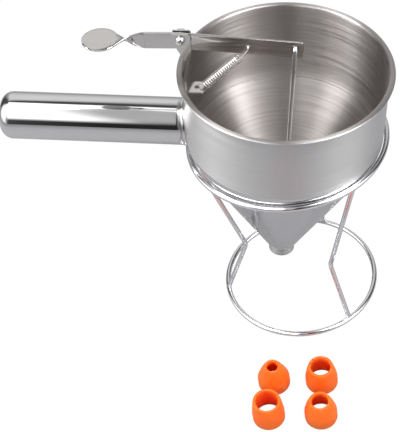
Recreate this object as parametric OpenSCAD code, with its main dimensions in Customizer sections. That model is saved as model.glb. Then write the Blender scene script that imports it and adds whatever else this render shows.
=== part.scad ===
// Pancake batter dispenser: a leaning hand funnel in its wire stand, with four nozzles.
// The lever over the handle lifts a rod with a plug out of the cone; a spring pulls it shut.
// All sizes are in millimetres. The origin is on the floor, in the middle of the stand.

/* [Bowl and cone] */
// Outside diameter of the straight wall
bowl_d = 143.2; // [120:0.2:160]
// Height of the straight wall, with the lip
bowl_h = 56; // [45:1:75]
// Sheet thickness of bowl, cone and spout
sheet_t = 0.8; // [0.6:0.1:1.2]
// How far the rolled lip stands out from the wall
lip_w = 3.4; // [2.4:0.1:5]
// Thickness of the rolled lip
lip_t = 1.8; // [1.2:0.1:2.4]
// Radius of the shoulder between wall and cone
shoulder_r = 22; // [16:1:26]
// Angle between the cone's side and its axis
cone_half = 26.6; // [24:0.2:30]
// Outside diameter of the spout, which the nozzles fit
spout_d = 20.6; // [16:0.2:24]
// Length of the spout below the cone
spout_len = 6; // [4:0.5:12]

/* [Handle] */
// Outside diameter of the handle tube
handle_d = 34.8; // [28:0.2:38]
// Length of the tube from the bowl's wall to its end cap
handle_len = 124; // [90:1:150]
// Height of the handle's axis above the foot of the bowl's wall
handle_up = 5.1; // [4.4:0.1:7]
// Angle by which the handle rises away from the bowl
handle_rise = 1.8; // [0:0.2:6]
// Wall thickness of the handle tube and its end cap
handle_t = 1; // [0.6:0.1:2]
// Depth of the end cap
cap_depth = 11.5; // [10:0.5:16]
// Radius of the end cap's rounded corner
cap_round = 9; // [6:0.5:10]
// Thickness of the weld collar round the handle's root
collar_t = 0.4; // [0.2:0.1:1]
// Length of the weld collar
collar_len = 3; // [2:0.5:6]

/* [Lever] */
// How far the pivot stands inside the bowl's outside
pivot_in = 0.8; // [0:0.2:3]
// Height of the pivot above the rim
pivot_z = 25.2; // [24:0.2:27]
// Height of the lever's centre line above the rim, at the pivot
lever_z = 23.2; // [22.6:0.2:24]
// Thickness of the lever strip
lever_t = 1.5; // [1:0.1:2]
// Height of the strip
lever_h = 13; // [11:0.2:14]
// Angle by which the inner arm falls towards the bowl's axis
arm_fall = 5.3; // [3:0.1:6]
// Length of the inner arm, past the bowl's axis
arm_past = 12.3; // [10:0.1:16]
// Distance of the twist's inner end from the bowl's axis
twist_x = 95.5; // [88:0.5:100]
// Length of the quarter twist
twist_len = 19.5; // [14:0.5:24]
// Width of the strip where the thumb pad begins
neck_w = 12.5; // [9:0.5:14]
// Length of the thumb pad
pad_len = 23.5; // [20:0.5:32]
// Width of the thumb pad
pad_w = 24.4; // [18:0.2:30]

/* [Bracket] */
// Sheet thickness of the bracket
bracket_t = 1.2; // [0.8:0.1:1.6]
// Clear width between the bracket's cheeks
cheek_gap = 3; // [2.8:0.1:4]
// Width of the bracket's foot and spring tab
tab_w = 11.6; // [9:0.2:16]
// How far the tab reaches in from the wall
tab_len = 14; // [12:0.1:16]
// Depth of the tab below the rim
tab_drop = 18; // [15:0.5:22]
// Diameter of the hole in the tab
tab_hole_d = 3.6; // [3:0.1:4]

/* [Pivot screw] */
// Diameter of the screw's shank
screw_d = 4; // [3:0.1:5]
// Diameter of the domed head
head_d = 6.4; // [5.6:0.1:8]
// Height of the domed head
head_h = 2.4; // [1.6:0.1:3]
// Size of the nut across its flats
nut_af = 7; // [6.4:0.1:8]
// Height of the nut
nut_h = 3.2; // [2.4:0.1:4]

/* [Spring] */
// Wire diameter of the spring
spring_wire = 1; // [0.8:0.1:1.2]
// Mean diameter of the coil
coil_d = 6.1; // [5:0.1:6.6]
// Number of turns of the coil
coil_turns = 18; // [10:1:20]
// Distance of the lever's spring hole from the bowl's axis
spring_hole_x = 25.3; // [22:0.1:28]
// Diameter of the lever's spring hole
spring_hole_d = 3; // [2.6:0.1:3.6]

/* [Rod and plug] */
// Diameter of the rod
rod_d = 3.2; // [2.6:0.1:4]
// Distance past the bowl's axis at which the rod hangs on the lever
rod_x = 6.4; // [4:0.1:8]
// Height of the rod's hole above the arm's centre line
rod_hole_up = 1.6; // [0:0.1:2.4]
// Height of the plug's sealing cone
plug_h = 7; // [5:0.5:12]

/* [Stand] */
// Height of the stand's top ring, to the middle of its wire
stand_h = 164.2; // [140:0.5:200]
// How far the ring's inside reaches under the bowl's wall
ring_bite = 1.1; // [0.8:0.1:1.6]
// Outside diameter of the ring on the floor
base_d = 127.6; // [110:0.2:160]
// Wire diameter of both rings
ring_wire = 4; // [3.6:0.1:5]
// Wire diameter of the legs
leg_wire = 3.6; // [3:0.1:4.4]
// Radius at which the legs are bent in
waist_r = 41.5; // [36:0.5:50]
// Height of the bend in the legs
waist_z = 52.5; // [45:0.5:65]
// Radius of the bend in the legs
leg_bend_r = 12; // [8:0.5:20]
// Direction of the first leg, seen from above
leg_turn = 190; // [180:1:200]

/* [Nozzles] */
// Outside diameter of a nozzle
nozzle_d = 24.8; // [23:0.2:28]
// Height of the straight part of a nozzle
nozzle_skirt = 9; // [7:0.5:12]
// Wall thickness round a nozzle's mouth
mouth_wall = 2.2; // [1.6:0.1:3]
// Mouth diameter of the narrow nozzle
mouth_narrow = 8.6; // [6:0.2:10]
// Mouth diameter of the middle nozzle
mouth_middle = 12.4; // [10:0.2:13.4]
// Mouth diameter of the wide nozzle
mouth_wide = 15; // [13:0.2:15.6]
// Mouth diameter of the open nozzle
mouth_open = 17; // [15:0.2:17.6]
// Height of the narrow and the open nozzle
nozzle_tall = 22.4; // [18:0.2:26]
// Height of the middle and the wide nozzle
nozzle_low = 21.2; // [17:0.2:24]
// Distance from the stand to the back row of nozzles
nozzle_away = 42; // [20:0.5:80]
// Spacing of the nozzles from left to right
nozzle_pitch_x = 37; // [30:0.5:60]
// Spacing of the nozzles from front to back
nozzle_pitch_y = 30.6; // [29:0.2:60]

/* [Fits] */
// Gap between the ring and what rests on it
seat_gap = 0.5; // [0.3:0.05:0.8]
// Radial clearance of a pin in a hole that turns on it
pin_clear = 0.08; // [0.04:0.01:0.1]
// Gap between faces that slide past each other
face_gap = 0.1; // [0.08:0.01:0.15]
// Gap between the plug and the cone
plug_gap = 0.3; // [0.25:0.05:0.5]
// How much tighter than the spout a nozzle's socket is, in diameter
socket_grip = 0.4; // [0:0.1:1]

/* [Hidden] */
$fn = 96;

steel = "#C9CCD0";
bright_steel = "#D9DCE0";
silicone = "#F5791F";

// Bowl
wall_r = bowl_d / 2;
wall_in = wall_r - sheet_t;
rim_r = wall_r + lip_w;
lip_round = 1.6;
shoulder_c = wall_r - shoulder_r;
cone_top_r = shoulder_c + shoulder_r * cos(cone_half);
cone_top_z = -bowl_h - shoulder_r * sin(cone_half);
spout_r = spout_d / 2;
cone_end_z = cone_top_z - (cone_top_r - spout_r) / tan(cone_half);
cone_wall = sheet_t / cos(cone_half);
spout_end_z = cone_end_z - spout_len;

// Stand, and how the bowl sits in it: the shoulder rests on the ring, and the handle's root,
// which is lower than the ring's top, lifts that side until it rests there too
ring_r = ring_wire / 2;
leg_r = leg_wire / 2;
ring_c = wall_r - ring_bite + ring_r;
base_c = base_d / 2 - ring_r;
seat_reach = shoulder_r + ring_r + seat_gap;
seat_drop = sqrt(pow(seat_reach, 2) - pow(ring_c - shoulder_c, 2));
seat_depth = bowl_h + seat_drop;
handle_drop = bowl_h - handle_up;
handle_low = handle_drop + (handle_d / 2 + collar_t) / cos(handle_rise);
handle_over = handle_low + ring_r + seat_gap - seat_depth;
function shift_for(lean) =
    let (below = min(0, ring_c * sin(lean) - seat_drop))
    ring_c - (shoulder_c + sqrt(pow(seat_reach, 2) - pow(below, 2))) / cos(lean);
first_lean = asin(max(0, handle_over) / ring_c);
seat_lean = asin(max(0, handle_over) / (ring_c + shift_for(first_lean)));
seat_shift = shift_for(seat_lean);

// Lever, in the plane through the handle and the bowl's axis
pivot_x = wall_r - pivot_in;
strip_r = lever_h / 2;
arm_end_z = arm_z(arm_past);
rod_hole_z = arm_z(rod_x) + rod_hole_up;
spring_hole_z = arm_z(-spring_hole_x);
pad_x = twist_x + twist_len;
twist_steps = 14;
corner_r = 2;
function arm_z(x) = lever_z - (x + pivot_x) * tan(arm_fall);

// Bracket
cheek_out = cheek_gap / 2 + bracket_t;
web_top = lever_z - strip_r - 1.6;
web_top_x = pivot_x - 6.9;
web_foot_z = -11;
cheek_foot_z = 4.5;
cheek_top = pivot_z + 5;
tab_hole_x = wall_in - 9.1;
washer_t = 0.8;
washer_d = head_d + 1;
spacer_t = (cheek_gap - lever_t) / 2 - face_gap;

// Rod and plug
rod_r = rod_d / 2;
elbow_y = -lever_t / 2 - 0.35 - rod_r;
plug_low = cone_end_z + 1;
plug_high = plug_low + plug_h;
crown_h = 3;
stem_h = 3;
plug_top = plug_high + crown_h + stem_h;
rod_foot = [0, 0, plug_top - 4];
rod_top = [rod_x, elbow_y, rod_hole_z];
rivet_t = 1;
function plug_r(z) = spout_r + (z - cone_end_z) * tan(cone_half) - (sheet_t + plug_gap) / cos(cone_half);

// Spring: a loop through the tab's hole, the coil, and a hook through the lever's hole
spring_steps = 8;
spring_sides = 6;
tab_z = -tab_drop - bracket_t / 2;
loop_r = (tab_len - (wall_in - tab_hole_x)) / 2 + 0.7;
loop_c = [-tab_hole_x + loop_r + 0.5, 0, tab_z];
hook_r = lever_t / 2 + 1.25;
hook_top = [-spring_hole_x, 0, spring_hole_z];
coil_head = hook_top - [6.2, 0, 10.2];
spring_dir = unit(coil_head - loop_c);
spring_up = [-spring_dir[2], 0, spring_dir[0]];
spring_out = [0, 1, 0];
coil_foot = loop_c + loop_r * spring_dir;
coil_len = norm(coil_head - coil_foot);
coil_r = coil_d / 2;
function unit(v) = v / norm(v);
loop_path = [
    for (a = [315:-24.5:70])
        loop_c + loop_r * (cos(a) * spring_dir + sin(a) * spring_up)
];
coil_path = [
    for (i = [0:spring_steps * coil_turns - 2])
        let (a = 360 * i / spring_steps)
        coil_foot + coil_len * i / (spring_steps * coil_turns - 2) * spring_dir
            + coil_r * (cos(a) * spring_up + sin(a) * spring_out)
];
hook_path = [
    for (a = [180:-22.5:0])
        hook_top + hook_r * [0, cos(a), sin(a) - 1]
];
hook_tail = hook_top + [0, hook_r, -hook_r - 2];
spring_path = concat(loop_path, coil_path, hook_path, [hook_tail]);
spring_gap = min([
    for (i = [0:len(spring_path) - 6])
        for (j = [i + 5:len(spring_path) - 1])
            norm(spring_path[i] - spring_path[j])
]) - spring_wire;
echo(spring_least_gap = spring_gap);

// Nozzles: where each one stands on the floor
back_y = -base_d / 2 - nozzle_away;
front_y = back_y - nozzle_pitch_y;
side_x = nozzle_pitch_x / 2;
row_x = -1.8;
open_stray = -3.5;
middle_stray = -0.8;

// The bowl's own frame has its origin in the middle of the rim
module seated() {
    translate([seat_shift, 0, stand_h])
        rotate([0, seat_lean, 0])
            translate([0, 0, seat_depth])
                children();
}

// A flat outline drawn as [x, z], standing in the plane of handle and axis
module standing(width) {
    translate([0, width / 2, 0])
        rotate([90, 0, 0])
            linear_extrude(width)
                children();
}

module across(x, z, y0, y1, r, sides = 48) {
    translate([x, y0, z])
        rotate([-90, 0, 0])
            cylinder(r = r, h = y1 - y0, $fn = sides);
}

module between(a, b, r) {
    along = b - a;
    translate(a)
        rotate([0, acos(along[2] / norm(along)), atan2(along[1], along[0])])
            cylinder(r = r, h = norm(along), $fn = 48);
}

// A round tube along a path, as one closed surface
module swept_tube(path, r, sides) {
    last = len(path) - 1;
    dirs = [for (i = [0:last]) unit(path[min(i + 1, last)] - path[max(i - 1, 0)])];
    ups = [
        for (i = 0, u = square_to([0, 0.3, 1], dirs[0]); i <= last; i = i + 1, u = square_to(u, dirs[min(i, last)]))
            u
    ];
    rings = [
        for (i = [0:last])
            for (k = [0:sides - 1])
                let (a = 360 * k / sides)
                path[i] + r * (cos(a) * ups[i] + sin(a) * cross(dirs[i], ups[i]))
    ];
    walls = [
        for (i = [0:last - 1])
            for (k = [0:sides - 1])
                let (n = (k + 1) % sides, low = i * sides, high = low + sides)
                each [[low + k, high + k, high + n], [low + k, high + n, low + n]]
    ];
    ends = [
        for (k = [1:sides - 2])
            each [[0, k, k + 1], [last * sides, last * sides + k + 1, last * sides + k]]
    ];
    polyhedron(points = rings, faces = concat(walls, ends));
}
function square_to(u, d) = unit(u - (u * d) * d);

module ring_of_wire(centre_r, z) {
    translate([0, 0, z])
        rotate_extrude()
            translate([centre_r, 0])
                circle(r = ring_r, $fn = 32);
}

module shoulder_profile(r_out, r_in) {
    reach = 2 * shoulder_r;
    translate([shoulder_c, -bowl_h])
        intersection() {
            difference() {
                circle(r = r_out);
                circle(r = r_in);
            }
            polygon([[0, 0], [reach, 0], [reach * cos(cone_half), -reach * sin(cone_half)]]);
        }
}

// The bowl's outside, filled, to fit the handle's root against
module bowl_filled() {
    wall_and_shoulder();
    translate([0, 0, cone_end_z])
        cylinder(r1 = spout_r, r2 = cone_top_r, h = cone_top_z - cone_end_z);
}

module wall_and_shoulder() {
    translate([0, 0, -bowl_h])
        cylinder(r = wall_r, h = bowl_h);
    translate([0, 0, -bowl_h])
        rotate_extrude()
            translate([shoulder_c, 0])
                circle(r = shoulder_r);
}

module bowl() {
    edge = lip_t / 2;
    color(steel) seated() rotate_extrude() {
        translate([wall_in, -bowl_h])
            square([sheet_t, bowl_h - lip_round]);
        shoulder_profile(shoulder_r, shoulder_r - sheet_t);
        translate([wall_in + lip_round, -lip_t])
            square([rim_r - edge - wall_in - lip_round, lip_t]);
        translate([rim_r - edge, -edge])
            circle(r = edge, $fn = 32);
        intersection() {
            translate([wall_in + lip_round, -lip_round])
                circle(r = lip_round, $fn = 32);
            translate([wall_in, -lip_t])
                square([lip_round, lip_t]);
        }
    }
}

module cone() {
    color(steel) seated() rotate_extrude()
        polygon([
            [cone_top_r, cone_top_z],
            [spout_r, cone_end_z],
            [spout_r - cone_wall, cone_end_z],
            [cone_top_r - sheet_t * cos(cone_half), cone_top_z + sheet_t * sin(cone_half)]
        ]);
}

module spout_tube() {
    color(steel) seated()
        translate([0, 0, spout_end_z])
            difference() {
                cylinder(r = spout_r, h = spout_len);
                translate([0, 0, -1])
                    cylinder(r = spout_r - sheet_t, h = spout_len + 2);
            }
}

// Places children with +Z along the handle, away from the bowl, from the bowl's wall
module on_handle() {
    seated()
        translate([-wall_r, 0, -handle_drop])
            rotate([0, -90 + handle_rise, 0])
                children();
}

module handle_tube() {
    inside = wall_r / 3;
    color(bright_steel) difference() {
        on_handle() translate([0, 0, -inside]) difference() {
            cylinder(d = handle_d, h = handle_len + inside);
            translate([0, 0, -1])
                cylinder(d = handle_d - 2 * handle_t, h = handle_len + inside + 2);
        }
        seated() wall_and_shoulder();
    }
}

module handle_collar() {
    inside = wall_r / 3;
    color(bright_steel) difference() {
        on_handle() translate([0, 0, -inside]) difference() {
            cylinder(d = handle_d + 2 * collar_t, h = collar_len + inside);
            translate([0, 0, -1])
                cylinder(d = handle_d, h = collar_len + inside + 2);
        }
        seated() bowl_filled();
    }
}

// A pressed cup: a short straight wall, a rounded corner and a flat end
module handle_end_cap() {
    half = handle_d / 2;
    color(bright_steel) on_handle() translate([0, 0, handle_len]) difference() {
        cup(half, cap_depth, cap_round);
        cup(half - handle_t, cap_depth - handle_t, cap_round - handle_t);
    }
}

module cup(r, h, corner) {
    rotate_extrude() {
        square([r, h - corner]);
        square([r - corner, h]);
        intersection() {
            translate([r - corner, h - corner])
                circle(r = corner);
            square([r, h]);
        }
    }
}

// Folded from one sheet: a foot welded to the wall, a tab for the spring at its lower end,
// a web that leans in to clear the lip, and two cheeks bent out over the lip
module lever_bracket() {
    foot_z = -tab_drop - bracket_t;
    web_in = web_top_x;
    foot_in = wall_in - bracket_t;
    color(steel) seated() difference() {
        intersection() {
            union() {
                standing(tab_w) polygon([
                    [-wall_r, foot_z], [-wall_in + tab_len, foot_z], [-wall_in + tab_len, -tab_drop],
                    [-foot_in, -tab_drop], [-foot_in, web_foot_z], [-wall_r, web_foot_z]
                ]);
                standing(2 * cheek_out) polygon([
                    [-wall_r, web_foot_z - 2], [-foot_in, web_foot_z - 2], [-foot_in, web_foot_z],
                    [-web_in, web_top], [-web_in - bracket_t, web_top], [-wall_r, web_foot_z]
                ]);
            }
            translate([0, 0, -2 * bowl_h])
                cylinder(r = wall_in, h = 4 * bowl_h);
        }
        translate([-tab_hole_x, 0, foot_z - 1])
            cylinder(d = tab_hole_d, h = bracket_t + 2, $fn = 32);
    }
    color(steel) seated() difference() {
        standing(2 * cheek_out) cheek_outline();
        standing(cheek_gap) translate([-pivot_x - cheek_top, cheek_foot_z - 1]) square([2 * cheek_top, cheek_top]);
        across(-pivot_x, pivot_z, -cheek_out - 1, cheek_out + 1, screw_d / 2);
    }
}

// Flat on top; below the screw it narrows to the web's outer face
module cheek_outline() {
    lean = (web_top_x - wall_in + bracket_t) / (web_top - web_foot_z);
    foot_x = web_top_x - lean * (web_top - cheek_foot_z);
    polygon([
        [-web_top_x, web_top], [-foot_x, cheek_foot_z], [-foot_x - bracket_t, cheek_foot_z],
        [-pivot_x - 2.8, pivot_z - 7.4], [-pivot_x - 4.2, pivot_z - 2],
        [-pivot_x - 4.2, cheek_top - 3], [-pivot_x - 5.4, cheek_top - 1.6],
        [-pivot_x - 5.4, cheek_top], [-pivot_x + 5.4, cheek_top], [-web_top_x, cheek_top - 1.5]
    ]);
}

module pivot_screw() {
    y0 = -cheek_out - washer_t;
    ball = (pow(head_d / 2, 2) + pow(head_h, 2)) / (2 * head_h);
    color(bright_steel) seated() {
        across(-pivot_x, pivot_z, y0, cheek_out + nut_h + 1, screw_d / 2);
        intersection() {
            translate([-pivot_x, y0 - head_h + ball, pivot_z])
                sphere(r = ball, $fn = 48);
            across(-pivot_x, pivot_z, y0 - head_h - 1, y0, head_d / 2 + 1);
        }
    }
}

module ring_across(y0, y1, r_out, r_in, sides = 48) {
    seated() difference() {
        across(-pivot_x, pivot_z, y0, y1, r_out, sides);
        across(-pivot_x, pivot_z, y0 - 1, y1 + 1, r_in);
    }
}

module pivot_washer() {
    color(bright_steel)
        ring_across(-cheek_out - washer_t, -cheek_out, washer_d / 2, screw_d / 2);
}

// One on each side of the lever, between it and a cheek
module pivot_spacers() {
    y_in = cheek_gap / 2 - spacer_t;
    color(bright_steel) {
        ring_across(-cheek_gap / 2, -y_in, screw_d / 2 + 1.6, screw_d / 2);
        ring_across(y_in, cheek_gap / 2, screw_d / 2 + 1.6, screw_d / 2);
    }
}

module pivot_nut() {
    color(bright_steel)
        ring_across(cheek_out, cheek_out + nut_h, nut_af / 2 / cos(30), screw_d / 2, 6);
}

// The strip stands on edge, turns a quarter between the bracket and the handle's middle,
// and ends in a flat oval pad for the thumb
module thumb_lever() {
    tip = corner_r * cos(arm_fall);
    color(bright_steel) seated() {
        difference() {
            union() {
                standing(lever_t) polygon([
                    [-twist_x, lever_z - strip_r], [-pivot_x, lever_z - strip_r],
                    [arm_past - corner_r, arm_z(arm_past - corner_r) - strip_r],
                    [arm_past, arm_end_z - strip_r + tip], [arm_past, arm_end_z + strip_r - tip],
                    [arm_past - corner_r, arm_z(arm_past - corner_r) + strip_r],
                    [-pivot_x, lever_z + strip_r], [-twist_x, lever_z + strip_r]
                ]);
            }
            across(-pivot_x, pivot_z, -lever_t, lever_t, screw_d / 2 + pin_clear);
            across(-spring_hole_x, spring_hole_z, -lever_t, lever_t, spring_hole_d / 2);
            across(rod_x, rod_hole_z, -lever_t, lever_t, rod_r + pin_clear);
        }
        quarter_twist();
        thumb_pad();
    }
}

module quarter_twist() {
    ring = [
        for (i = [0:twist_steps])
            let (t = i / twist_steps, a = 90 * pow(t, 1.5))
            let (half = strip_r + (neck_w / 2 - strip_r) * t)
            each [
                for (c = [[-1, -1], [1, -1], [1, 1], [-1, 1]])
                    let (u = c[0] * lever_t / 2, v = c[1] * half)
                    [-twist_x - t * twist_len, u * cos(a) - v * sin(a), lever_z + u * sin(a) + v * cos(a)]
            ]
    ];
    sides = [
        for (i = [0:twist_steps - 1])
            for (k = [0:3])
                let (n = (k + 1) % 4, low = 4 * i, high = low + 4)
                each [[low + k, high + n, high + k], [low + k, low + n, high + n]]
    ];
    end = 4 * twist_steps;
    ends = [[0, 2, 1], [0, 3, 2], [end, end + 1, end + 2], [end, end + 2, end + 3]];
    polyhedron(points = ring, faces = concat(sides, ends));
}

// An oval, cut straight across where it is as wide as the strip
module thumb_pad() {
    steps = 48;
    start = asin(neck_w / pad_w);
    half = pad_len / (1 + cos(start));
    outline = [
        for (i = [0:steps])
            let (a = start + (360 - 2 * start) * i / steps)
            [-pad_x - half * cos(start) + half * cos(a), pad_w / 2 * sin(a)]
    ];
    translate([0, 0, lever_z - lever_t / 2])
        linear_extrude(lever_t)
            polygon(outline);
}

module return_spring() {
    color(bright_steel) seated()
        swept_tube(spring_path, spring_wire / 2, spring_sides);
}

// The rod turns in at its top, through the lever, and is riveted over behind it.
// Its foot is pressed into the plug
module plunger_rod() {
    color(bright_steel) seated() {
        between(rod_foot, rod_top, rod_r);
        translate(rod_top)
            sphere(r = rod_r + 0.1, $fn = 48);
        across(rod_x, rod_hole_z, elbow_y, lever_t / 2 + face_gap + rivet_t, rod_r);
        across(rod_x, rod_hole_z, lever_t / 2 + face_gap, lever_t / 2 + face_gap + rivet_t, rod_r + 0.8);
    }
}

module valve_plug() {
    stem_r = rod_r + 2;
    color(bright_steel) seated() rotate_extrude()
        polygon([
            [0, plug_low], [plug_r(plug_low), plug_low], [plug_r(plug_high), plug_high],
            [stem_r, plug_high + crown_h], [stem_r, plug_top], [0, plug_top]
        ]);
}

module stand_top_ring() {
    color(bright_steel) ring_of_wire(ring_c, stand_h);
}

module stand_base_ring() {
    color(bright_steel) ring_of_wire(base_c, ring_r);
}

// A leg runs straight in from the top ring, bends at the waist and runs out to the base ring
module stand_leg(number) {
    top = [ring_c, 0, stand_h];
    waist = [waist_r, 0, waist_z];
    foot = [base_c, 0, ring_r];
    up = unit(top - waist);
    down = unit(foot - waist);
    turn = acos(up * down);
    cut = leg_bend_r / tan(turn / 2);
    hub = waist + unit(up + down) * leg_bend_r / sin(turn / 2);
    color(bright_steel) rotate([0, 0, leg_turn + 120 * (number - 1)]) difference() {
        union() {
            between(waist + cut * up, top, leg_r);
            between(waist + cut * down, foot, leg_r);
            bend_of_wire(hub, waist + cut * down, waist + cut * up, 180 - turn);
            translate(waist + cut * up)
                sphere(r = leg_r + 0.03, $fn = 32);
            translate(waist + cut * down)
                sphere(r = leg_r + 0.03, $fn = 32);
        }
        ring_of_wire(ring_c, stand_h);
        ring_of_wire(base_c, ring_r);
    }
}

// An arc of wire in the plane y = 0 round the point hub, from one point to another
module bend_of_wire(hub, a, b, turn) {
    start = atan2(a[2] - hub[2], a[0] - hub[0]);
    stop = atan2(b[2] - hub[2], b[0] - hub[0]);
    span = (start - stop + 360) % 360;
    low = span < 180 ? stop : start;
    translate(hub)
        rotate([90, 0, 0])
            rotate([0, 0, low])
                rotate_extrude(angle = turn)
                    translate([leg_bend_r, 0])
                        circle(r = leg_r, $fn = 32);
}

// A push-on silicone nozzle, standing on its socket with the mouth up
module nozzle(x, y, mouth_d, tall) {
    outer_r = nozzle_d / 2;
    socket_r = (spout_d - socket_grip) / 2;
    mouth_r = mouth_d / 2;
    soft = 0.6;
    color(silicone) translate([x, y, 0]) difference() {
        rotate_extrude()
            polygon([
                [0, 0], [outer_r - soft, 0], [outer_r, soft], [outer_r, nozzle_skirt],
                [mouth_r + mouth_wall, tall - soft], [mouth_r + mouth_wall - soft, tall], [0, tall]
            ]);
        translate([0, 0, -1])
            cylinder(r = socket_r, h = nozzle_skirt + 1);
        translate([0, 0, nozzle_skirt])
            cylinder(r1 = socket_r, r2 = mouth_r, h = tall - 4 - nozzle_skirt);
        translate([0, 0, tall - 4])
            cylinder(r = mouth_r, h = 5);
    }
}

bowl();
cone();
spout_tube();
handle_tube();
handle_collar();
handle_end_cap();
lever_bracket();
pivot_screw();
pivot_washer();
pivot_spacers();
pivot_nut();
thumb_lever();
return_spring();
plunger_rod();
valve_plug();
stand_top_ring();
stand_base_ring();
stand_leg(1);  // stand_leg_left
stand_leg(2);  // stand_leg_front
stand_leg(3);  // stand_leg_back
nozzle(row_x - side_x, back_y, mouth_narrow, nozzle_tall);  // nozzle_narrow
nozzle(row_x + side_x + middle_stray, front_y, mouth_middle, nozzle_low);  // nozzle_middle
nozzle(row_x + side_x, back_y, mouth_wide, nozzle_low);  // nozzle_wide
nozzle(row_x - side_x + open_stray, front_y, mouth_open, nozzle_tall);  // nozzle_open
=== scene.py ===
# Pancake batter dispenser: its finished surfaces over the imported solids, and the studio round it
import math

import bmesh
import bpy
from mathutils import Matrix, Vector


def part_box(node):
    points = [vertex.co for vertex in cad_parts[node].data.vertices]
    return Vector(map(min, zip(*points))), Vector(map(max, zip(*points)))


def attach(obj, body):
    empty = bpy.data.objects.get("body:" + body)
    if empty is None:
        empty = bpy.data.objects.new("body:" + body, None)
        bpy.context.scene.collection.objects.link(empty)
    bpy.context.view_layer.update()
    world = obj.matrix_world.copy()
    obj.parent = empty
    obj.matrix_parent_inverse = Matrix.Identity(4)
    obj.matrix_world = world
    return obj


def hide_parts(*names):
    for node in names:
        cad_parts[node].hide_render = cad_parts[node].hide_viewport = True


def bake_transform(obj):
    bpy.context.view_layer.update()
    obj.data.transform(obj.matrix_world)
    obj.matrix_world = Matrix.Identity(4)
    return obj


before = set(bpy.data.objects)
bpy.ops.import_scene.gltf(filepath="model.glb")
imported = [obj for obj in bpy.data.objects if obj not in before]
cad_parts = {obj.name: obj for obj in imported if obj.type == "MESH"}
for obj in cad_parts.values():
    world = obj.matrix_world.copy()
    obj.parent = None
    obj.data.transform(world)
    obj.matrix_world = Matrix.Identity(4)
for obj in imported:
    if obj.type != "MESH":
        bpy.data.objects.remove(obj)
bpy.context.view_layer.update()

MM = 0.001

# ---------------------------------------------------------------- sizes, as in the part's source, in mm
LEAN = math.radians(5.275196)
SEAT_SHIFT = -1.829486
SEAT_DEPTH = 64.708616
STAND_H = 164.2

WALL_R, SHEET, BOWL_H = 71.6, 0.8, 56.0
RIM_R, LIP_T, LIP_ROUND, LIP_FILLET = 75.0, 1.8, 1.6, 1.0
SHOULDER_R, CONE_HALF = 22.0, math.radians(26.6)
SHOULDER_C = WALL_R - SHOULDER_R
CONE_TOP_R = SHOULDER_C + SHOULDER_R * math.cos(CONE_HALF)
CONE_TOP_Z = -BOWL_H - SHOULDER_R * math.sin(CONE_HALF)
SPOUT_R, SPOUT_LEN = 10.3, 6.0
CONE_END_Z = CONE_TOP_Z - (CONE_TOP_R - SPOUT_R) / math.tan(CONE_HALF)

HANDLE_R, HANDLE_LEN, HANDLE_DROP = 17.4, 124.0, 50.9
HANDLE_RISE, CAP_DEPTH, CAP_ROUND = math.radians(1.8), 11.5, 9.0

PIVOT_X, PIVOT_Z, LEVER_Z = -70.8, 25.2, 23.2
LEVER_T, LEVER_H, ARM_FALL = 1.5, 13.0, math.radians(5.3)
ARM_PAST, ARM_CORNER, ARM_SOFT, TWIST_X, TWIST_LEN = 12.3, 2.0, 0.15, -95.5, 19.5
PAD_LEN, PAD_W, NECK_W, PAD_DISH = 23.5, 24.4, 12.5, 0.25
SPRING_HOLE_X, SPRING_HOLE_R = -25.3, 1.5
SCREW_R, PIN_CLEAR, FACE_GAP = 2.0, 0.08, 0.1
ROD_R, ROD_X, ROD_HOLE_UP, ROD_BEND = 1.6, 6.4, 1.6, 1.75
ELBOW_GAP, RIVET_R, ROD_SUNK = 0.35, 2.4, 4.0
PLUG_LIFT, PLUG_H, PLUG_NECK = 1.0, 7.0, 6.0
TAB_DROP, TAB_LEN, BRACKET_T, TAB_HOLE_IN = 18.0, 14.0, 1.2, 9.1
COIL_R, COIL_TURNS, COIL_HEAD, SPRING_WIRE_R = 3.05, 18, (6.2, 10.2), 0.5
# Spring ends: loop past the tab's end, loop off the hole's middle, hook off the strip, tail below it
LOOP_SLACK, LOOP_OFF, HOOK_SLACK, HOOK_TAIL = 0.7, 0.5, 1.25, 2.0

RING_R, LEG_R = 2.0, 1.8
TOP_RING_C, BASE_RING_C = 72.5, 61.8
WAIST_R, WAIST_Z, LEG_BEND = 41.5, 52.5, 12.0
LEG_TURN = 190.0

NOZZLE_R, NOZZLE_SKIRT, MOUTH_WALL, MOUTH_DEPTH = 12.4, 9.0, 2.2, 4.0
SOCKET_GRIP = 0.2
SOCKET_R = SPOUT_R - SOCKET_GRIP
# Mouth radius and height of each nozzle
NOZZLES = {"narrow": (4.3, 22.4), "middle": (6.2, 21.2), "wide": (7.5, 21.2), "open": (8.5, 22.4)}


def arm_z(x):
    return LEVER_Z - (x - PIVOT_X) * math.tan(ARM_FALL)


# From the bowl's own frame, with its origin in the middle of the rim, to the stand's frame
SEAT = (
    Matrix.Translation((SEAT_SHIFT * MM, 0, STAND_H * MM))
    @ Matrix.Rotation(LEAN, 4, "Y")
    @ Matrix.Translation((0, 0, SEAT_DEPTH * MM))
)


def seated(x, y, z):
    return SEAT @ Vector((x * MM, y * MM, z * MM))


def on_circle(r, angle, z):
    """The point at this radius, angle and height, from millimetres to metres."""
    return Vector((r * math.cos(angle) * MM, r * math.sin(angle) * MM, z * MM))


def between(a, b, t):
    """The point at share t of the way from a to b."""
    return tuple(p + (q - p) * t for p, q in zip(a, b))


def unit(v):
    return v / v.length


# ---------------------------------------------------------------- material helpers
UV = "surface"


def new_material(name):
    m = bpy.data.materials.new(name)
    m.use_nodes = True
    nt = m.node_tree
    nt.nodes.clear()
    out = nt.nodes.new("ShaderNodeOutputMaterial")
    bsdf = nt.nodes.new("ShaderNodeBsdfPrincipled")
    nt.links.new(bsdf.outputs["BSDF"], out.inputs["Surface"])
    return m, nt, bsdf


def add(nt, kind, **values):
    node = nt.nodes.new(kind)
    for key, value in values.items():
        setattr(node, key, value)
    return node


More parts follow.
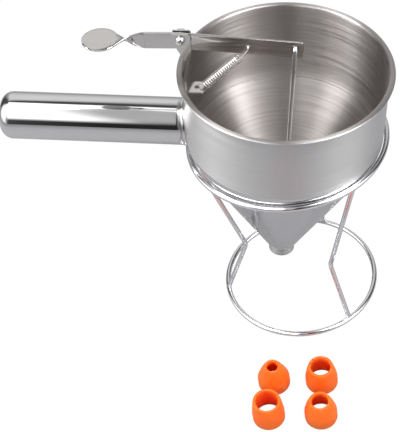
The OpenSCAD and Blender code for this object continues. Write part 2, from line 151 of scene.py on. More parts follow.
def maths(nt, operation, a, b):
    node = add(nt, "ShaderNodeMath", operation=operation)
    for socket, value in zip(node.inputs, (a, b)):
        if isinstance(value, (int, float)):
            socket.default_value = value
        else:
            nt.links.new(value, socket)
    return node.outputs[0]


def ramp(nt, value, stops):
    node = add(nt, "ShaderNodeValToRGB")
    elements = node.color_ramp.elements
    while len(elements) < len(stops):
        elements.new(0.5)
    for element, (place, colour) in zip(elements, stops):
        element.position = place
        grey = isinstance(colour, (int, float))
        element.color = (colour, colour, colour, 1) if grey else (*colour, 1)
    nt.links.new(value, node.inputs["Fac"])
    return node.outputs["Color"]


def noise_lines(nt, scale, detail=3.0, origin=(0, 0, 0), turn=(0, 0, 0)):
    """Noise stretched along the directions whose scale is small; scale is in repeats a metre."""
    where = add(nt, "ShaderNodeTexCoord")
    place = add(nt, "ShaderNodeMapping", vector_type="TEXTURE")
    place.inputs["Location"].default_value = origin
    place.inputs["Rotation"].default_value = turn
    stretch = add(nt, "ShaderNodeMapping")
    stretch.inputs["Scale"].default_value = scale
    noise = add(nt, "ShaderNodeTexNoise")
    noise.inputs["Scale"].default_value = 1.0
    noise.inputs["Detail"].default_value = detail
    nt.links.new(where.outputs["Object"], place.inputs["Vector"])
    nt.links.new(place.outputs["Vector"], stretch.inputs["Vector"])
    nt.links.new(stretch.outputs["Vector"], noise.inputs["Vector"])
    return noise.outputs["Fac"]


def relief(nt, bsdf, height, strength, depth):
    """Raises the surface by a pattern; depth is in metres."""
    node = add(nt, "ShaderNodeBump")
    node.inputs["Strength"].default_value = strength
    node.inputs["Distance"].default_value = depth
    nt.links.new(height, node.inputs["Height"])
    nt.links.new(node.outputs["Normal"], bsdf.inputs["Normal"])


def steel(name, colour, rough, spread, scale, contrast, bump=0.0, anisotropic=0.0):
    """Bare steel whose roughness and tone vary along brush lines or faint smears."""
    m, nt, bsdf = new_material(name)
    bsdf.inputs["Metallic"].default_value = 1.0
    fac = noise_lines(nt, scale, origin=tuple(SEAT.translation), turn=(0, LEAN, 0))
    low = tuple(c * (1 - contrast) for c in colour)
    high = tuple(min(1, c * (1 + contrast)) for c in colour)
    nt.links.new(ramp(nt, fac, [(0.3, low), (0.7, high)]), bsdf.inputs["Base Color"])
    nt.links.new(ramp(nt, fac, [(0.3, rough - spread), (0.7, rough + spread)]), bsdf.inputs["Roughness"])
    if anisotropic:
        # the UV map runs round the axis, and a quarter turn spreads the highlights across that
        bsdf.inputs["Anisotropic"].default_value = anisotropic
        bsdf.inputs["Anisotropic Rotation"].default_value = 0.25
        tangent = add(nt, "ShaderNodeTangent", direction_type="UV_MAP", uv_map=UV)
        nt.links.new(tangent.outputs["Tangent"], bsdf.inputs["Tangent"])
    if bump:
        relief(nt, bsdf, fac, 1.0, bump)
    return m


def silicone(name, colour):
    m, nt, bsdf = new_material(name)
    fac = noise_lines(nt, (90, 90, 90), detail=2.0)
    low = tuple(c * 0.94 for c in colour)
    nt.links.new(ramp(nt, fac, [(0.3, low), (0.7, colour)]), bsdf.inputs["Base Color"])
    nt.links.new(ramp(nt, fac, [(0.3, 0.42), (0.7, 0.52)]), bsdf.inputs["Roughness"])
    bsdf.inputs["Subsurface Weight"].default_value = 0.8
    bsdf.inputs["Subsurface Radius"].default_value = (1.0, 0.12, 0.03)
    bsdf.inputs["Subsurface Scale"].default_value = 0.012
    bsdf.inputs["Specular IOR Level"].default_value = 0.3
    relief(nt, bsdf, noise_lines(nt, (1800, 1800, 1800), detail=2.0), 0.25, 0.00004)
    return m


# Each steel: tone, roughness and its spread, repeats a metre along x, y and z, contrast
SPUN_INSIDE = steel(
    "spun_steel_inside", (0.48, 0.454, 0.442), 0.37, 0.06, (14, 14, 800), 0.12,
    bump=0.000003, anisotropic=0.97,
)
SHEET_OUTSIDE = steel(
    "sheet_steel_outside", (0.64, 0.63, 0.625), 0.42, 0.03, (14, 14, 700), 0.03,
    bump=0.000001, anisotropic=0.78,
)
CONE_OUTSIDE = steel("cone_steel_outside", (0.67, 0.665, 0.67), 0.13, 0.03, (14, 14, 300), 0.03)
POLISHED = steel("polished_handle_steel", (0.72, 0.72, 0.72), 0.07, 0.015, (40, 90, 90), 0.02)
WIRE = steel("bright_wire_steel", (0.86, 0.86, 0.88), 0.045, 0.02, (120, 120, 120), 0.03)
STRIP = steel("brushed_strip_steel", (0.64, 0.62, 0.6), 0.11, 0.02, (40, 900, 900), 0.04)
FITTINGS = steel("turned_fittings_steel", (0.7, 0.69, 0.68), 0.16, 0.04, (300, 300, 300), 0.05)
SPRING_STEEL = steel("spring_wire_steel", (0.85, 0.83, 0.82), 0.24, 0.03, (400, 400, 400), 0.06)
ORANGE = silicone("orange_silicone", (1.0, 0.145, 0.009))


# ---------------------------------------------------------------- mesh helpers
def finish_mesh(name, bm, materials, smooth=True):
    mesh = bpy.data.meshes.new(name)
    bmesh.ops.recalc_face_normals(bm, faces=bm.faces)
    for face in bm.faces:
        face.smooth = smooth
    bm.to_mesh(mesh)
    bm.free()
    for m in materials:
        mesh.materials.append(m)
    obj = bpy.data.objects.new(name, mesh)
    bpy.context.scene.collection.objects.link(obj)
    return obj


def arc(cx, cz, r, start, stop, steps):
    """Points of an arc in the profile's plane, angles in degrees from +r towards +z."""
    out = []
    for i in range(steps + 1):
        a = math.radians(start + (stop - start) * i / steps)
        out.append((cx + r * math.cos(a), cz + r * math.sin(a)))
    return out


def lathe(name, profile, slots, materials, place, segments):
    """Turns a closed profile of (radius, height) round place's Z axis; slots gives each side's material."""
    bm = bmesh.new()
    uv = bm.loops.layers.uv.new(UV)
    angles = [2 * math.pi * k / segments for k in range(segments)]
    rings = [[bm.verts.new(place @ on_circle(r, a, z)) for a in angles] for r, z in profile]
    for i in range(len(profile)):
        j = (i + 1) % len(profile)
        for k in range(segments):
            n = (k + 1) % segments
            face = bm.faces.new((rings[i][k], rings[i][n], rings[j][n], rings[j][k]))
            face.material_index = slots[i]
            corners = ((k, i), (k + 1, i), (k + 1, i + 1), (k, i + 1))
            for loop, (u, v) in zip(face.loops, corners):
                loop[uv].uv = (u / segments, v / len(profile))
    return finish_mesh(name, bm, materials)


def skin(bm, rings):
    """Faces from each ring of points to the next, and one face over each end."""
    for low, high in zip(rings, rings[1:]):
        for k in range(len(low)):
            n = (k + 1) % len(low)
            bm.faces.new((low[k], low[n], high[n], high[k]))
    bm.faces.new(rings[0])
    bm.faces.new(rings[-1])


def sharpen(obj, degrees):
    """Splits the shading at edges that turn more than this."""
    obj.data.set_sharp_from_angle(angle=math.radians(degrees))
    return obj


# ---------------------------------------------------------------- tubes that follow a path
def wire_tree():
    """A tree that turns a chain of edges into a round wire."""
    tree = bpy.data.node_groups.new("wire_along_path", "GeometryNodeTree")
    socket = tree.interface.new_socket
    socket("Geometry", in_out="INPUT", socket_type="NodeSocketGeometry")
    socket("Wire Radius", in_out="INPUT", socket_type="NodeSocketFloat").default_value = 0.001
    socket("Sides", in_out="INPUT", socket_type="NodeSocketInt").default_value = 16
    socket("Finish", in_out="INPUT", socket_type="NodeSocketMaterial")
    socket("Geometry", in_out="OUTPUT", socket_type="NodeSocketGeometry")
    nodes, link = tree.nodes, tree.links.new
    start, end = nodes.new("NodeGroupInput"), nodes.new("NodeGroupOutput")
    curve = nodes.new("GeometryNodeMeshToCurve")
    circle = nodes.new("GeometryNodeCurvePrimitiveCircle")
    sweep = nodes.new("GeometryNodeCurveToMesh")
    smooth = nodes.new("GeometryNodeSetShadeSmooth")
    real = nodes.new("GeometryNodeRealizeInstances")
    paint = nodes.new("GeometryNodeSetMaterial")
    sweep.inputs["Fill Caps"].default_value = True
    link(start.outputs["Geometry"], curve.inputs["Mesh"])
    link(start.outputs["Wire Radius"], circle.inputs["Radius"])
    link(start.outputs["Sides"], circle.inputs["Resolution"])
    link(curve.outputs["Curve"], sweep.inputs["Curve"])
    link(circle.outputs["Curve"], sweep.inputs["Profile Curve"])
    link(sweep.outputs["Mesh"], smooth.inputs["Geometry"])
    link(smooth.outputs["Geometry"], real.inputs["Geometry"])
    link(real.outputs["Geometry"], paint.inputs["Geometry"])
    link(start.outputs["Finish"], paint.inputs["Material"])
    link(paint.outputs["Geometry"], end.inputs["Geometry"])
    return tree


WIRE_TREE = wire_tree()


def wire(name, points, radius, finish, sides, closed=False):
    """A round wire of the given radius, in millimetres, through points in metres."""
    mesh = bpy.data.meshes.new(name + "_path")
    chain = [(i, i + 1) for i in range(len(points) - 1)]
    if closed:
        chain.append((len(points) - 1, 0))
    mesh.from_pydata([tuple(p) for p in points], chain, [])
    obj = bpy.data.objects.new(name, mesh)
    bpy.context.scene.collection.objects.link(obj)
    modifier = obj.modifiers.new("wire", "NODES")
    modifier.node_group = WIRE_TREE
    wanted = {"Wire Radius": radius * MM, "Sides": sides, "Finish": finish}
    for item in WIRE_TREE.interface.items_tree:
        if item.item_type == "SOCKET" and item.in_out == "INPUT" and item.name in wanted:
            modifier[item.identifier] = wanted[item.name]
    bpy.context.view_layer.update()
    seen = obj.evaluated_get(bpy.context.evaluated_depsgraph_get())
    made = bpy.data.meshes.new_from_object(seen)
    made.name = name
    obj.modifiers.clear()
    obj.data = made
    return sharpen(obj, 50)


# ---------------------------------------------------------------- bowl, cone and spout
# Material slots of the turned sheets
INSIDE, OUTSIDE, BELOW = range(3)
SHOULDER_STEPS = 14


def make_bowl():
    wall_in = WALL_R - SHEET
    edge = LIP_T / 2
    slope = -math.degrees(CONE_HALF)
    outer = arc(SHOULDER_C, -BOWL_H, SHOULDER_R, slope, 0, SHOULDER_STEPS)
    outer += [(WALL_R, z) for z in (-40, -25, -12, -4)]
    outer += arc(WALL_R + LIP_FILLET, -LIP_T - LIP_FILLET, LIP_FILLET, 180, 90, 5)
    lip = arc(RIM_R - edge, -edge, edge, -90, 90, 10)
    inner = arc(wall_in + LIP_ROUND, -LIP_ROUND, LIP_ROUND, 90, 180, 8)
    inner += [(wall_in, z) for z in (-6, -20, -40)]
    inner += arc(SHOULDER_C, -BOWL_H, SHOULDER_R - SHEET, 0, slope, SHOULDER_STEPS)
    # the last sides of the lip's round look like the inside
    lip_inside = 3
    seen_outside = len(outer) + len(lip) - lip_inside
    slots = [BELOW] * SHOULDER_STEPS + [OUTSIDE] * (seen_outside - SHOULDER_STEPS)
    slots += [INSIDE] * (len(inner) + lip_inside - 1) + [OUTSIDE]
    materials = [SPUN_INSIDE, SHEET_OUTSIDE, CONE_OUTSIDE]
    return lathe("bowl_shell", outer + lip + inner, slots, materials, SEAT, 256)


def make_cone():
    top_out, end_out = (CONE_TOP_R, CONE_TOP_Z), (SPOUT_R, CONE_END_Z)
    top_in = (CONE_TOP_R - SHEET * math.cos(CONE_HALF), CONE_TOP_Z + SHEET * math.sin(CONE_HALF))
    end_in = (SPOUT_R - SHEET / math.cos(CONE_HALF), CONE_END_Z)
    steps = 12
    outer = [between(end_out, top_out, i / steps) for i in range(steps + 1)]
    inner = [between(top_in, end_in, i / steps) for i in range(steps + 1)]
    slots = [OUTSIDE] * len(outer) + [INSIDE] * (len(inner) - 1) + [OUTSIDE]
    shell = lathe("cone_shell", outer + inner, slots, [SPUN_INSIDE, CONE_OUTSIDE], SEAT, 256)
    return sharpen(shell, 40)


def make_spout():
    low, high = CONE_END_Z - SPOUT_LEN, CONE_END_Z
    inner = SPOUT_R - SHEET
    soft = 0.25
    profile = [(SPOUT_R, high), (inner, high), (inner, low + soft)]
    profile += [(inner + soft, low), (SPOUT_R - soft, low), (SPOUT_R, low + soft)]
    slots = [INSIDE] * 2 + [OUTSIDE] * 4
    return sharpen(lathe("spout_ring", profile, slots, [SPUN_INSIDE, SHEET_OUTSIDE], SEAT, 96), 50)


# ---------------------------------------------------------------- handle
HANDLE_FRAME = (
    SEAT
    @ Matrix.Translation((-WALL_R * MM, 0, -HANDLE_DROP * MM))
    @ Matrix.Rotation(-math.pi / 2 + HANDLE_RISE, 4, "Y")
)


def inside_bowl(x, y, z):
    """Whether a point of the bowl's own frame, in millimetres, is within its outer surface."""
    r = math.hypot(x, y)
    if z > -BOWL_H:
        return r < WALL_R
    if r < SHOULDER_C:
        return True
    return math.hypot(r - SHOULDER_C, z + BOWL_H) < SHOULDER_R


def root_length(radius, angle):
    """How far along the handle, from its frame's origin, a line of the tube leaves the bowl."""
    back = SEAT.inverted() @ HANDLE_FRAME
    # halves the stretch from a place inside the bowl to one outside it
    low, high = -60.0, 30.0
    for _ in range(40):
        mid = (low + high) / 2
        p = back @ on_circle(radius, angle, mid)
        if inside_bowl(p.x / MM, p.y / MM, p.z / MM):
            low = mid
        else:
            high = mid
    return high


def make_tube(name, rows, finish):
    """rows: (radius, distance along the handle, whether that is counted from the bowl's surface)."""
    segments = 160
    angles = [2 * math.pi * k / segments for k in range(segments)]
    bm = bmesh.new()
    rings = []
    for r, s, on_root in rows:
        ends = [s + (root_length(r, a) if on_root else 0) for a in angles]
        rings.append([bm.verts.new(HANDLE_FRAME @ on_circle(r, a, z)) for a, z in zip(angles, ends)])
    skin(bm, rings)
    return finish_mesh(name, bm, [finish])


def make_handle():
    tube = [(HANDLE_R, 0.0, True)] + [(HANDLE_R, s, False) for s in (6, 30, 60, 90, 120)]
    end = HANDLE_LEN + CAP_DEPTH
    cap = arc(HANDLE_R - CAP_ROUND, end - CAP_ROUND, CAP_ROUND, 0, 90, 24)
    # the flat end closes in rings, down to all but a point
    cap += [(r, end) for r in (6.0, 3.0, 0.02)]
    return make_tube("handle_barrel", tube + [(r, s, False) for r, s in cap], POLISHED)


def make_collar():
    # how far each row stands out from the tube, and its distance from the bowl's surface
    bead = ((0.4, 0.0), (0.4, 2.0), (0.3, 2.6), (0.02, 3.0))
    return make_tube("weld_collar", [(HANDLE_R + out, s, True) for out, s in bead], FITTINGS)


# ---------------------------------------------------------------- lever
def flat_plate(name, outline, holes, thickness, soften, finish):
    """A plate in the bowl's plane y = 0 from an outline of (x, z), with round holes and softened edges."""
    curve = bpy.data.curves.new(name, "CURVE")
    curve.dimensions = "2D"
    curve.fill_mode = "BOTH"
    hole_steps = 40
    for loop in [outline] + [arc(x, z, r, 0, 360, hole_steps)[:-1] for x, z, r in holes]:
        spline = curve.splines.new("POLY")
        spline.points.add(len(loop) - 1)
        for point, (x, z) in zip(spline.points, loop):
            point.co = (x * MM, z * MM, 0, 1)
        spline.use_cyclic_u = True
    curve.extrude = (thickness / 2 - soften) * MM
    curve.bevel_depth = soften * MM
    curve.bevel_resolution = 2
    curve.offset = -soften * MM
    source = bpy.data.objects.new(name + "_curve", curve)
    bpy.context.scene.collection.objects.link(source)
    bpy.context.view_layer.update()
    mesh = bpy.data.meshes.new_from_object(source.evaluated_get(bpy.context.evaluated_depsgraph_get()))
    bpy.data.objects.remove(source)
    mesh.transform(SEAT @ Matrix.Rotation(math.pi / 2, 4, "X"))
    mesh.name = name
    bm = bmesh.new()
    bm.from_mesh(mesh)
    bpy.data.meshes.remove(mesh)
    bmesh.ops.remove_doubles(bm, verts=bm.verts, dist=0.000005)
    return sharpen(finish_mesh(name, bm, [finish]), 35)


def rounded_corner(before, here, after, radius, steps):
    """The points of a round in place of the corner here; each point is (x, z)."""
    before, here, after = Vector(before), Vector(here), Vector(after)
    a, b = unit(before - here), unit(after - here)
    half = a.angle(b) / 2
    cut = radius / math.tan(half)
    hub = here + unit(a + b) * radius / math.sin(half)
    start, stop = here + a * cut - hub, here + b * cut - hub
    turn = start.angle_signed(stop)
    return [tuple(hub + Matrix.Rotation(-turn * k / steps, 2) @ start) for k in range(steps + 1)]


def make_lever_arm():
    half = LEVER_H / 2
    end_z = arm_z(ARM_PAST)
    low = [(TWIST_X, LEVER_Z - half), (PIVOT_X, LEVER_Z - half), (ARM_PAST, end_z - half)]
    high = [(ARM_PAST, end_z + half), (PIVOT_X, LEVER_Z + half), (TWIST_X, LEVER_Z + half)]
    outline = low[:2]
    outline += rounded_corner(low[1], low[2], high[0], ARM_CORNER, 5)
    outline += rounded_corner(low[2], high[0], high[1], ARM_CORNER, 5)
    outline += high[1:]
    holes = [
        (PIVOT_X, PIVOT_Z, SCREW_R + PIN_CLEAR),
        (SPRING_HOLE_X, arm_z(SPRING_HOLE_X), SPRING_HOLE_R),
        (ROD_X, arm_z(ROD_X) + ROD_HOLE_UP, ROD_R + PIN_CLEAR),
    ]
    return flat_plate("lever_arm", outline, holes, LEVER_T, ARM_SOFT, STRIP)


def make_lever_pad():
    """The quarter twist and the thumb pad, as one skin through rounded strip sections."""
    # each station: place along the lever, half width, turn of the section, depth of the dish
    stations = []
    twist_steps, pad_steps = 28, 36
    for i in range(twist_steps + 1):
        t = i / twist_steps
        half = LEVER_H / 2 + (NECK_W / 2 - LEVER_H / 2) * t
        stations.append((TWIST_X - t * TWIST_LEN, half, math.pi / 2 * t**1.5, 0.0))
    join = math.asin(NECK_W / PAD_W)
    long = PAD_LEN / (1 + math.cos(join))
    hub = TWIST_X - TWIST_LEN - long * math.cos(join)
    tip_half = 0.35
    for i in range(1, pad_steps + 1):
        a = join + (math.pi - join) * i / pad_steps
        half = max(PAD_W / 2 * math.sin(a), tip_half)
        dish = PAD_DISH * math.sin(math.pi * i / pad_steps)
        stations.append((hub + long * math.cos(a), half, math.pi / 2, dish))
    # each point of the section: face of the strip, and share of the half width
    soft = 0.3
    across = [-1, -0.94, -0.6, -0.2, 0.2, 0.6, 0.94, 1]
    section = [(-1, v) for v in across] + [(1, v) for v in reversed(across)]
    bm = bmesh.new()
    rings = []
    for x, half, a, dish in stations:
        ring = []
        for face, share in section:
            u = face * (LEVER_T / 2 - (soft if abs(share) == 1 else 0))
            v = share * half
            y = u * math.cos(a) - v * math.sin(a)
            z = LEVER_Z + u * math.sin(a) + v * math.cos(a) - dish * (1 - share**2)
            ring.append(bm.verts.new(seated(x, y, z)))
        rings.append(ring)
    skin(bm, rings)
    return sharpen(finish_mesh("thumb_pad", bm, [STRIP]), 60)


# ---------------------------------------------------------------- rod and spring
def make_rod():
    elbow_y = -LEVER_T / 2 - ELBOW_GAP - ROD_R
    foot = Vector((0, 0, CONE_END_Z + PLUG_LIFT + PLUG_H + PLUG_NECK - ROD_SUNK))
    top = Vector((ROD_X, elbow_y, arm_z(ROD_X) + ROD_HOLE_UP))
    up = unit(top - foot)
    points = [foot, foot + (top - foot) * 0.5, top - up * ROD_BEND]
    hub = top - up * ROD_BEND + Vector((0, ROD_BEND, 0))
    steps = 8
    for i in range(1, steps + 1):
        a = math.pi / 2 * i / steps
        points.append(hub + Vector((0, -ROD_BEND * math.cos(a), 0)) + up * ROD_BEND * math.sin(a))
    into_head = 0.6
    points.append(Vector((points[-1].x, LEVER_T / 2 + into_head, points[-1].z)))
    return wire("hanging_rod", [seated(*p) for p in points], ROD_R, WIRE, 32)


def make_rivet_head():
    seat = Vector((ROD_X, LEVER_T / 2 + FACE_GAP, arm_z(ROD_X) + ROD_HOLE_UP)) * MM
    place = SEAT @ Matrix.Translation(seat) @ Matrix.Rotation(-math.pi / 2, 4, "X")
    profile = [(0.01, 0), (RIVET_R, 0), (RIVET_R, 0.45), (RIVET_R - 0.2, 0.75), (1.5, 0.95), (0.01, 1.0)]
    return sharpen(lathe("rod_rivet_head", profile, [0] * len(profile), [FITTINGS], place, 48), 40)


def spring_points():
    """The spring's centre line in the bowl's frame: loop in the tab, coil, hook in the lever."""
    hole_x = WALL_R - SHEET - TAB_HOLE_IN
    loop_r = (TAB_LEN - TAB_HOLE_IN) / 2 + LOOP_SLACK
    loop = Vector((-hole_x + loop_r + LOOP_OFF, 0, -TAB_DROP - BRACKET_T / 2))
    hook = Vector((SPRING_HOLE_X, 0, arm_z(SPRING_HOLE_X)))
    coil_end = hook - Vector((COIL_HEAD[0], 0, COIL_HEAD[1]))
    axis = unit(coil_end - loop)
    up = Vector((-axis.z, 0, axis.x))
    out = Vector((0, 1, 0))
    points = []
    loop_from, loop_to, loop_steps = 315, 70, 39
    for i in range(loop_steps + 1):
        a = math.radians(loop_from + (loop_to - loop_from) * i / loop_steps)
        points.append(loop + loop_r * (math.cos(a) * axis + math.sin(a) * up))
    # the coil stops a quarter turn early, where it meets the hook
    coil_start = loop + loop_r * axis
    length = (coil_end - coil_start).length
    turn_steps = 24
    count = COIL_TURNS * turn_steps - turn_steps // 4
    for i in range(count + 1):
        a = 2 * math.pi * i / turn_steps
        middle = coil_start + length * i / count * axis
        points.append(middle + COIL_R * (math.cos(a) * up + math.sin(a) * out))
    hook_r = LEVER_T / 2 + HOOK_SLACK
    hook_steps = 16
    for i in range(hook_steps + 1):
        a = math.radians(180 - 180 * i / hook_steps)
        points.append(hook + Vector((0, hook_r * math.cos(a), hook_r * (math.sin(a) - 1))))
    points.append(hook + Vector((0, hook_r, -hook_r - HOOK_TAIL)))
    return points


def eased(points, rounds):
    """Rounds off the kinks between loop, coil and hook without moving the ends."""
    for _ in range(rounds):
        out = [points[0]]
        for a, b, c in zip(points, points[1:], points[2:]):
            out.append(b * 0.5 + (a + c) * 0.25)
        out.append(points[-1])
        points = out
    return points


def filled(points, step):
    """Puts extra points into stretches longer than the step, in millimetres."""
    out = [points[0]]
    for a, b in zip(points, points[1:]):
        n = max(1, int((b - a).length / step))
        for k in range(1, n + 1):
            out.append(a + (b - a) * k / n)
    return out


def make_spring():
    path = [seated(*p) for p in eased(filled(spring_points(), 0.6), 3)]
    return wire("return_spring_wire", path, SPRING_WIRE_R, SPRING_STEEL, 10)


# ---------------------------------------------------------------- stand
def ring_path(radius, z):
    steps = 240
    return [on_circle(radius, 2 * math.pi * k / steps, z) for k in range(steps)]


def leg_path(turn):
    """From the top ring in to the waist, round its bend, and out to the ring on the floor."""
    top, waist, foot = (TOP_RING_C, STAND_H), (WAIST_R, WAIST_Z), (BASE_RING_C, RING_R)
    line = [top, *rounded_corner(top, waist, foot, LEG_BEND, 12), foot]
    return [on_circle(r, math.radians(turn), z) for r, z in line]


# ---------------------------------------------------------------- nozzles
def make_nozzle(name, node, mouth_r, tall):
    low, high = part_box(node)
    place = Matrix.Translation(((low.x + high.x) / 2, (low.y + high.y) / 2, 0))
    neck = mouth_r + MOUTH_WALL
    foot_round, mouth_round, bore_round = 0.8, 1.0, 0.8
    outside = arc(NOZZLE_R - foot_round, foot_round, foot_round, -90, 0, 5)
    outside += [(NOZZLE_R, 5.0), (NOZZLE_R, NOZZLE_SKIRT - 1.6)]
    # a soft knee from the straight skirt into the taper
    outside += [(NOZZLE_R - 0.12, NOZZLE_SKIRT - 0.4)]
    outside += [(NOZZLE_R - 0.15 * (NOZZLE_R - neck), NOZZLE_SKIRT + 1.2)]
    outside += [between((NOZZLE_R, NOZZLE_SKIRT), (neck, tall), t) for t in (0.3, 0.5, 0.7)]
    outside += arc(neck - mouth_round, tall - mouth_round, mouth_round, 30, 90, 6)
    inside = arc(mouth_r + bore_round, tall - bore_round, bore_round, 90, 180, 5)
    mouth_foot = (mouth_r, tall - MOUTH_DEPTH)
    inside += [between(mouth_foot, (SOCKET_R, NOZZLE_SKIRT), t) for t in (0, 0.33, 0.66)]
    inside += [(SOCKET_R, NOZZLE_SKIRT), (SOCKET_R, 4), (SOCKET_R, 0.5), (SOCKET_R + 0.4, 0.0)]
    profile = outside + inside
    return lathe(name, profile, [0] * len(profile), [ORANGE], place, 96)


# ---------------------------------------------------------------- put the pieces on their bodies
def put(obj, body, slot, *nodes):
    """Lays a piece on its moving body, over the solids that it is seen instead of."""
    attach(obj, body)
    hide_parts(*nodes)


put(make_bowl(), "funnel", "brushed_sheet", "bowl")
put(make_cone(), "funnel", "brushed_sheet", "cone")
put(make_spout(), "funnel", "brushed_sheet", "spout_tube")
put(make_handle(), "funnel", "polished_tube", "handle_tube", "handle_end_cap")
put(make_collar(), "funnel", "polished_tube", "handle_collar")
put(make_lever_arm(), "lever", "satin_steel", "thumb_lever")
put(make_lever_pad(), "lever", "satin_steel", "thumb_lever")
put(make_rod(), "rod", "bright_wire", "plunger_rod")
put(make_rivet_head(), "rod", "bright_wire", "plunger_rod")

spring = make_spring()
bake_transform(spring)
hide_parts("return_spring")

for end, radius, z in (("top", TOP_RING_C, STAND_H), ("base", BASE_RING_C, RING_R)):
    ring = wire(end + "_ring_wire", ring_path(radius, z), RING_R, WIRE, 28, closed=True)
    put(ring, "stand", "bright_wire", "stand_" + end + "_ring")
for step, side in enumerate(("left", "front", "back")):
    leg = wire("leg_wire_" + side, leg_path(LEG_TURN + 120 * step), LEG_R, WIRE, 24)
    put(leg, "stand", "bright_wire", "stand_leg_" + side)

for kind, (mouth_r, tall) in NOZZLES.items():
    nozzle = make_nozzle(kind + "_nozzle_skin", "nozzle_" + kind, mouth_r, tall)
    put(nozzle, kind + "_nozzle", "orange_silicone", "nozzle_" + kind)

for node, finish in {
    "lever_bracket": STRIP,
    "pivot_screw": FITTINGS,
    "pivot_washer": FITTINGS,
    "pivot_spacers": FITTINGS,
    "pivot_nut": FITTINGS,
    "valve_plug": WIRE,
}.items():
    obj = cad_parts[node]
    obj.data.materials.clear()
    obj.data.materials.append(finish)


# ---------------------------------------------------------------- floor, light and camera
def make_floor():
    """White to the camera, and grey paper to what the metal reflects."""
    bm = bmesh.new()
    reach, sunk = 6.0, -0.0004
    corners = ((-reach, -reach), (reach, -reach), (reach, reach), (-reach, reach))
    bm.faces.new([bm.verts.new((x, y, sunk)) for x, y in corners])
    m = bpy.data.materials.new("studio_floor_paper")
    m.use_nodes = True
    nt = m.node_tree
    nt.nodes.clear()
    out = add(nt, "ShaderNodeOutputMaterial")
    paper = add(nt, "ShaderNodeBsdfDiffuse")
    paper.inputs["Color"].default_value = (0.29, 0.29, 0.302, 1)
    glow = add(nt, "ShaderNodeEmission")
    glow.inputs["Color"].default_value = (1, 1, 1, 1)
    glow.inputs["Strength"].default_value = 1.03
    rays = add(nt, "ShaderNodeLightPath")
    share = maths(nt, "MULTIPLY", rays.outputs["Is Camera Ray"], 0.97)
    mix = add(nt, "ShaderNodeMixShader")
    nt.links.new(share, mix.inputs["Fac"])
    nt.links.new(paper.outputs["BSDF"], mix.inputs[1])
    nt.links.new(glow.outputs["Emission"], mix.inputs[2])
    nt.links.new(mix.outputs["Shader"], out.inputs["Surface"])
    floor = finish_mesh("studio_floor", bm, [m], smooth=False)


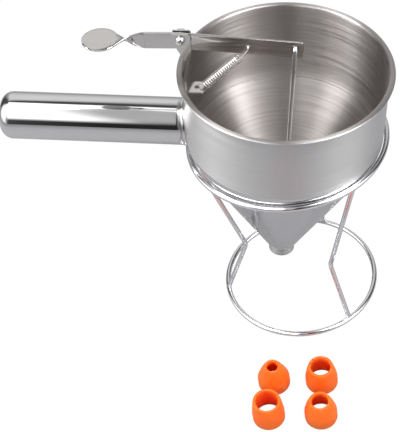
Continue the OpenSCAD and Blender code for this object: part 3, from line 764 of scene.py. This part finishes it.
def make_world():
    """White to the camera, an even light to plain surfaces, and to the metal a studio of soft boxes."""
    world = bpy.data.worlds.new("studio")
    bpy.context.scene.world = world
    world.use_nodes = True
    nt = world.node_tree
    nt.nodes.clear()

    def bearing(a, b):
        """The direction's angle from b towards a, as a share of a turn, with b itself at 0.5."""
        half_turns = maths(nt, "DIVIDE", maths(nt, "ARCTAN2", a, b), math.pi)
        return maths(nt, "ADD", maths(nt, "MULTIPLY", half_turns, 0.5), 0.5)

    def deg(angle):
        return 0.5 + angle / 360

    def background(colour):
        node = add(nt, "ShaderNodeBackground")
        node.inputs["Color"].default_value = colour
        return node.outputs["Background"]

    def split(factor, otherwise, when):
        """The second background for the rays that the factor picks, the first for all others."""
        node = add(nt, "ShaderNodeMixShader")
        nt.links.new(factor, node.inputs["Fac"])
        nt.links.new(otherwise, node.inputs[1])
        nt.links.new(when, node.inputs[2])
        return node.outputs["Shader"]

    where = add(nt, "ShaderNodeTexCoord")
    axes = add(nt, "ShaderNodeSeparateXYZ")
    nt.links.new(where.outputs["Generated"], axes.inputs[0])
    x, y, z = axes.outputs
    front = maths(nt, "MULTIPLY", y, -1.0)
    # 0 is straight up, 90 level on the camera's side, -90 level on the far side
    overhead = ramp(nt, bearing(front, z), [
        (0.0, 0.4), (deg(-90), 0.4), (deg(-36), 0.36), (deg(-27), 0.05), (deg(-17), 0.06),
        (deg(-11), 1.7), (deg(50), 1.7), (deg(62), 1.1), (deg(78), (0.3, 0.32, 0.38)),
        (deg(95), 0.1), (deg(112), 0.5), (1.0, 0.55),
    ])
    # 0 is the camera's side, 90 the right, -90 the left
    sides = ramp(nt, bearing(x, front), [
        (0.0, 0.6), (deg(-160), 0.6), (deg(-136), 0.06), (deg(-114), 0.06), (deg(-96), 1.3),
        (deg(-50), 1.3), (deg(-30), 0.25), (deg(-14), 0.06), (deg(-8), 0.02), (deg(9), 0.02),
        (deg(34), 0.3), (deg(52), 1.4), (deg(82), 1.4), (deg(98), 0.06), (deg(128), 0.06),
        (deg(156), 0.6), (1.0, 0.6),
    ])
    height = add(nt, "ShaderNodeMapRange")
    height.inputs["From Min"].default_value = 0.3
    height.inputs["From Max"].default_value = 0.5
    nt.links.new(z, height.inputs["Value"])
    # the soft box over the handle is a narrow one, so that the bowl sees the walls of the room;
    # on the far side it slants to the right
    slant = maths(nt, "MULTIPLY", maths(nt, "MAXIMUM", y, 0.0), -0.6)
    place = maths(nt, "ADD", maths(nt, "MULTIPLY", maths(nt, "ADD", x, slant), 0.5), 0.5)
    window = ramp(nt, place, [
        (0.26, 0.0), (0.32, 1.0), (0.44, 1.0), (0.475, 0.22), (0.52, 0.22), (0.55, 0.0),
    ])
    room = add(nt, "ShaderNodeMix", data_type="RGBA")
    nt.links.new(maths(nt, "MULTIPLY", height.outputs["Result"], window), room.inputs["Factor"])
    nt.links.new(sides, room.inputs[6])
    nt.links.new(overhead, room.inputs[7])
    studio = add(nt, "ShaderNodeBackground")
    nt.links.new(room.outputs[2], studio.inputs["Color"])
    higher = add(nt, "ShaderNodeMapRange")
    higher.inputs["From Min"].default_value = 0.0
    higher.inputs["From Max"].default_value = 0.5
    higher.inputs["To Min"].default_value = 0.8
    higher.inputs["To Max"].default_value = 1.4
    nt.links.new(z, higher.inputs["Value"])
    nt.links.new(higher.outputs["Result"], studio.inputs["Strength"])
    rays = add(nt, "ShaderNodeLightPath").outputs
    even, white = background((1.2, 1.2, 1.2, 1)), background((1, 1, 1, 1))
    for_metal = split(rays["Is Glossy Ray"], even, studio.outputs["Background"])
    for_camera = split(rays["Is Camera Ray"], for_metal, white)
    out = add(nt, "ShaderNodeOutputWorld")
    nt.links.new(for_camera, out.inputs["Surface"])


def make_strip_light(name, turn, rise, power):
    """A tall narrow soft box a metre from the bowl; turn is from the camera's side, rise from level."""
    data = bpy.data.lights.new(name, "AREA")
    data.shape = "RECTANGLE"
    data.size, data.size_y = 0.3, 1.0
    data.energy = power
    lamp = bpy.data.objects.new(name, data)
    bpy.context.scene.collection.objects.link(lamp)
    turn, rise = math.radians(turn), math.radians(rise)
    bowl = Vector((0, 0, 0.2))
    away = Vector((math.sin(turn) * math.cos(rise), -math.cos(turn) * math.cos(rise), math.sin(rise)))
    lamp.location = bowl + away
    lamp.rotation_euler = (-away).to_track_quat("-Z", "Y").to_euler()


def make_camera():
    """The camera that the photo was taken with, as fitted to the rim, the rings and the handle."""
    yaw, pitch, roll = (math.radians(a) for a in (-12.584, 47.223, -11.642))
    place = Vector((45.68, -543.41, 682.57)) * MM
    focal_px, long_side_px, sensor = 1019.61, 432, 36
    ahead = Vector((math.sin(yaw) * math.cos(pitch), math.cos(yaw) * math.cos(pitch), -math.sin(pitch)))
    level = Vector((math.cos(yaw), -math.sin(yaw), 0))
    above = level.cross(ahead)
    right = math.cos(roll) * level + math.sin(roll) * above
    up = -math.sin(roll) * level + math.cos(roll) * above
    data = bpy.data.cameras.new("photo_camera")
    data.sensor_fit = "AUTO"
    data.sensor_width = sensor
    data.lens = focal_px * sensor / long_side_px
    data.clip_start = 0.01
    data.clip_end = 50
    camera = bpy.data.objects.new("photo_camera", data)
    bpy.context.scene.collection.objects.link(camera)
    turn = Matrix((right, up, -ahead)).transposed().to_4x4()
    camera.matrix_world = Matrix.Translation(place) @ turn
    bpy.context.scene.camera = camera


make_floor()
make_world()
make_strip_light("strip_light_right", 70, 50, 7.6)
make_strip_light("strip_light_left", -76, 50, 7.4)
make_camera()
bpy.context.scene.view_settings.view_transform = "Standard"
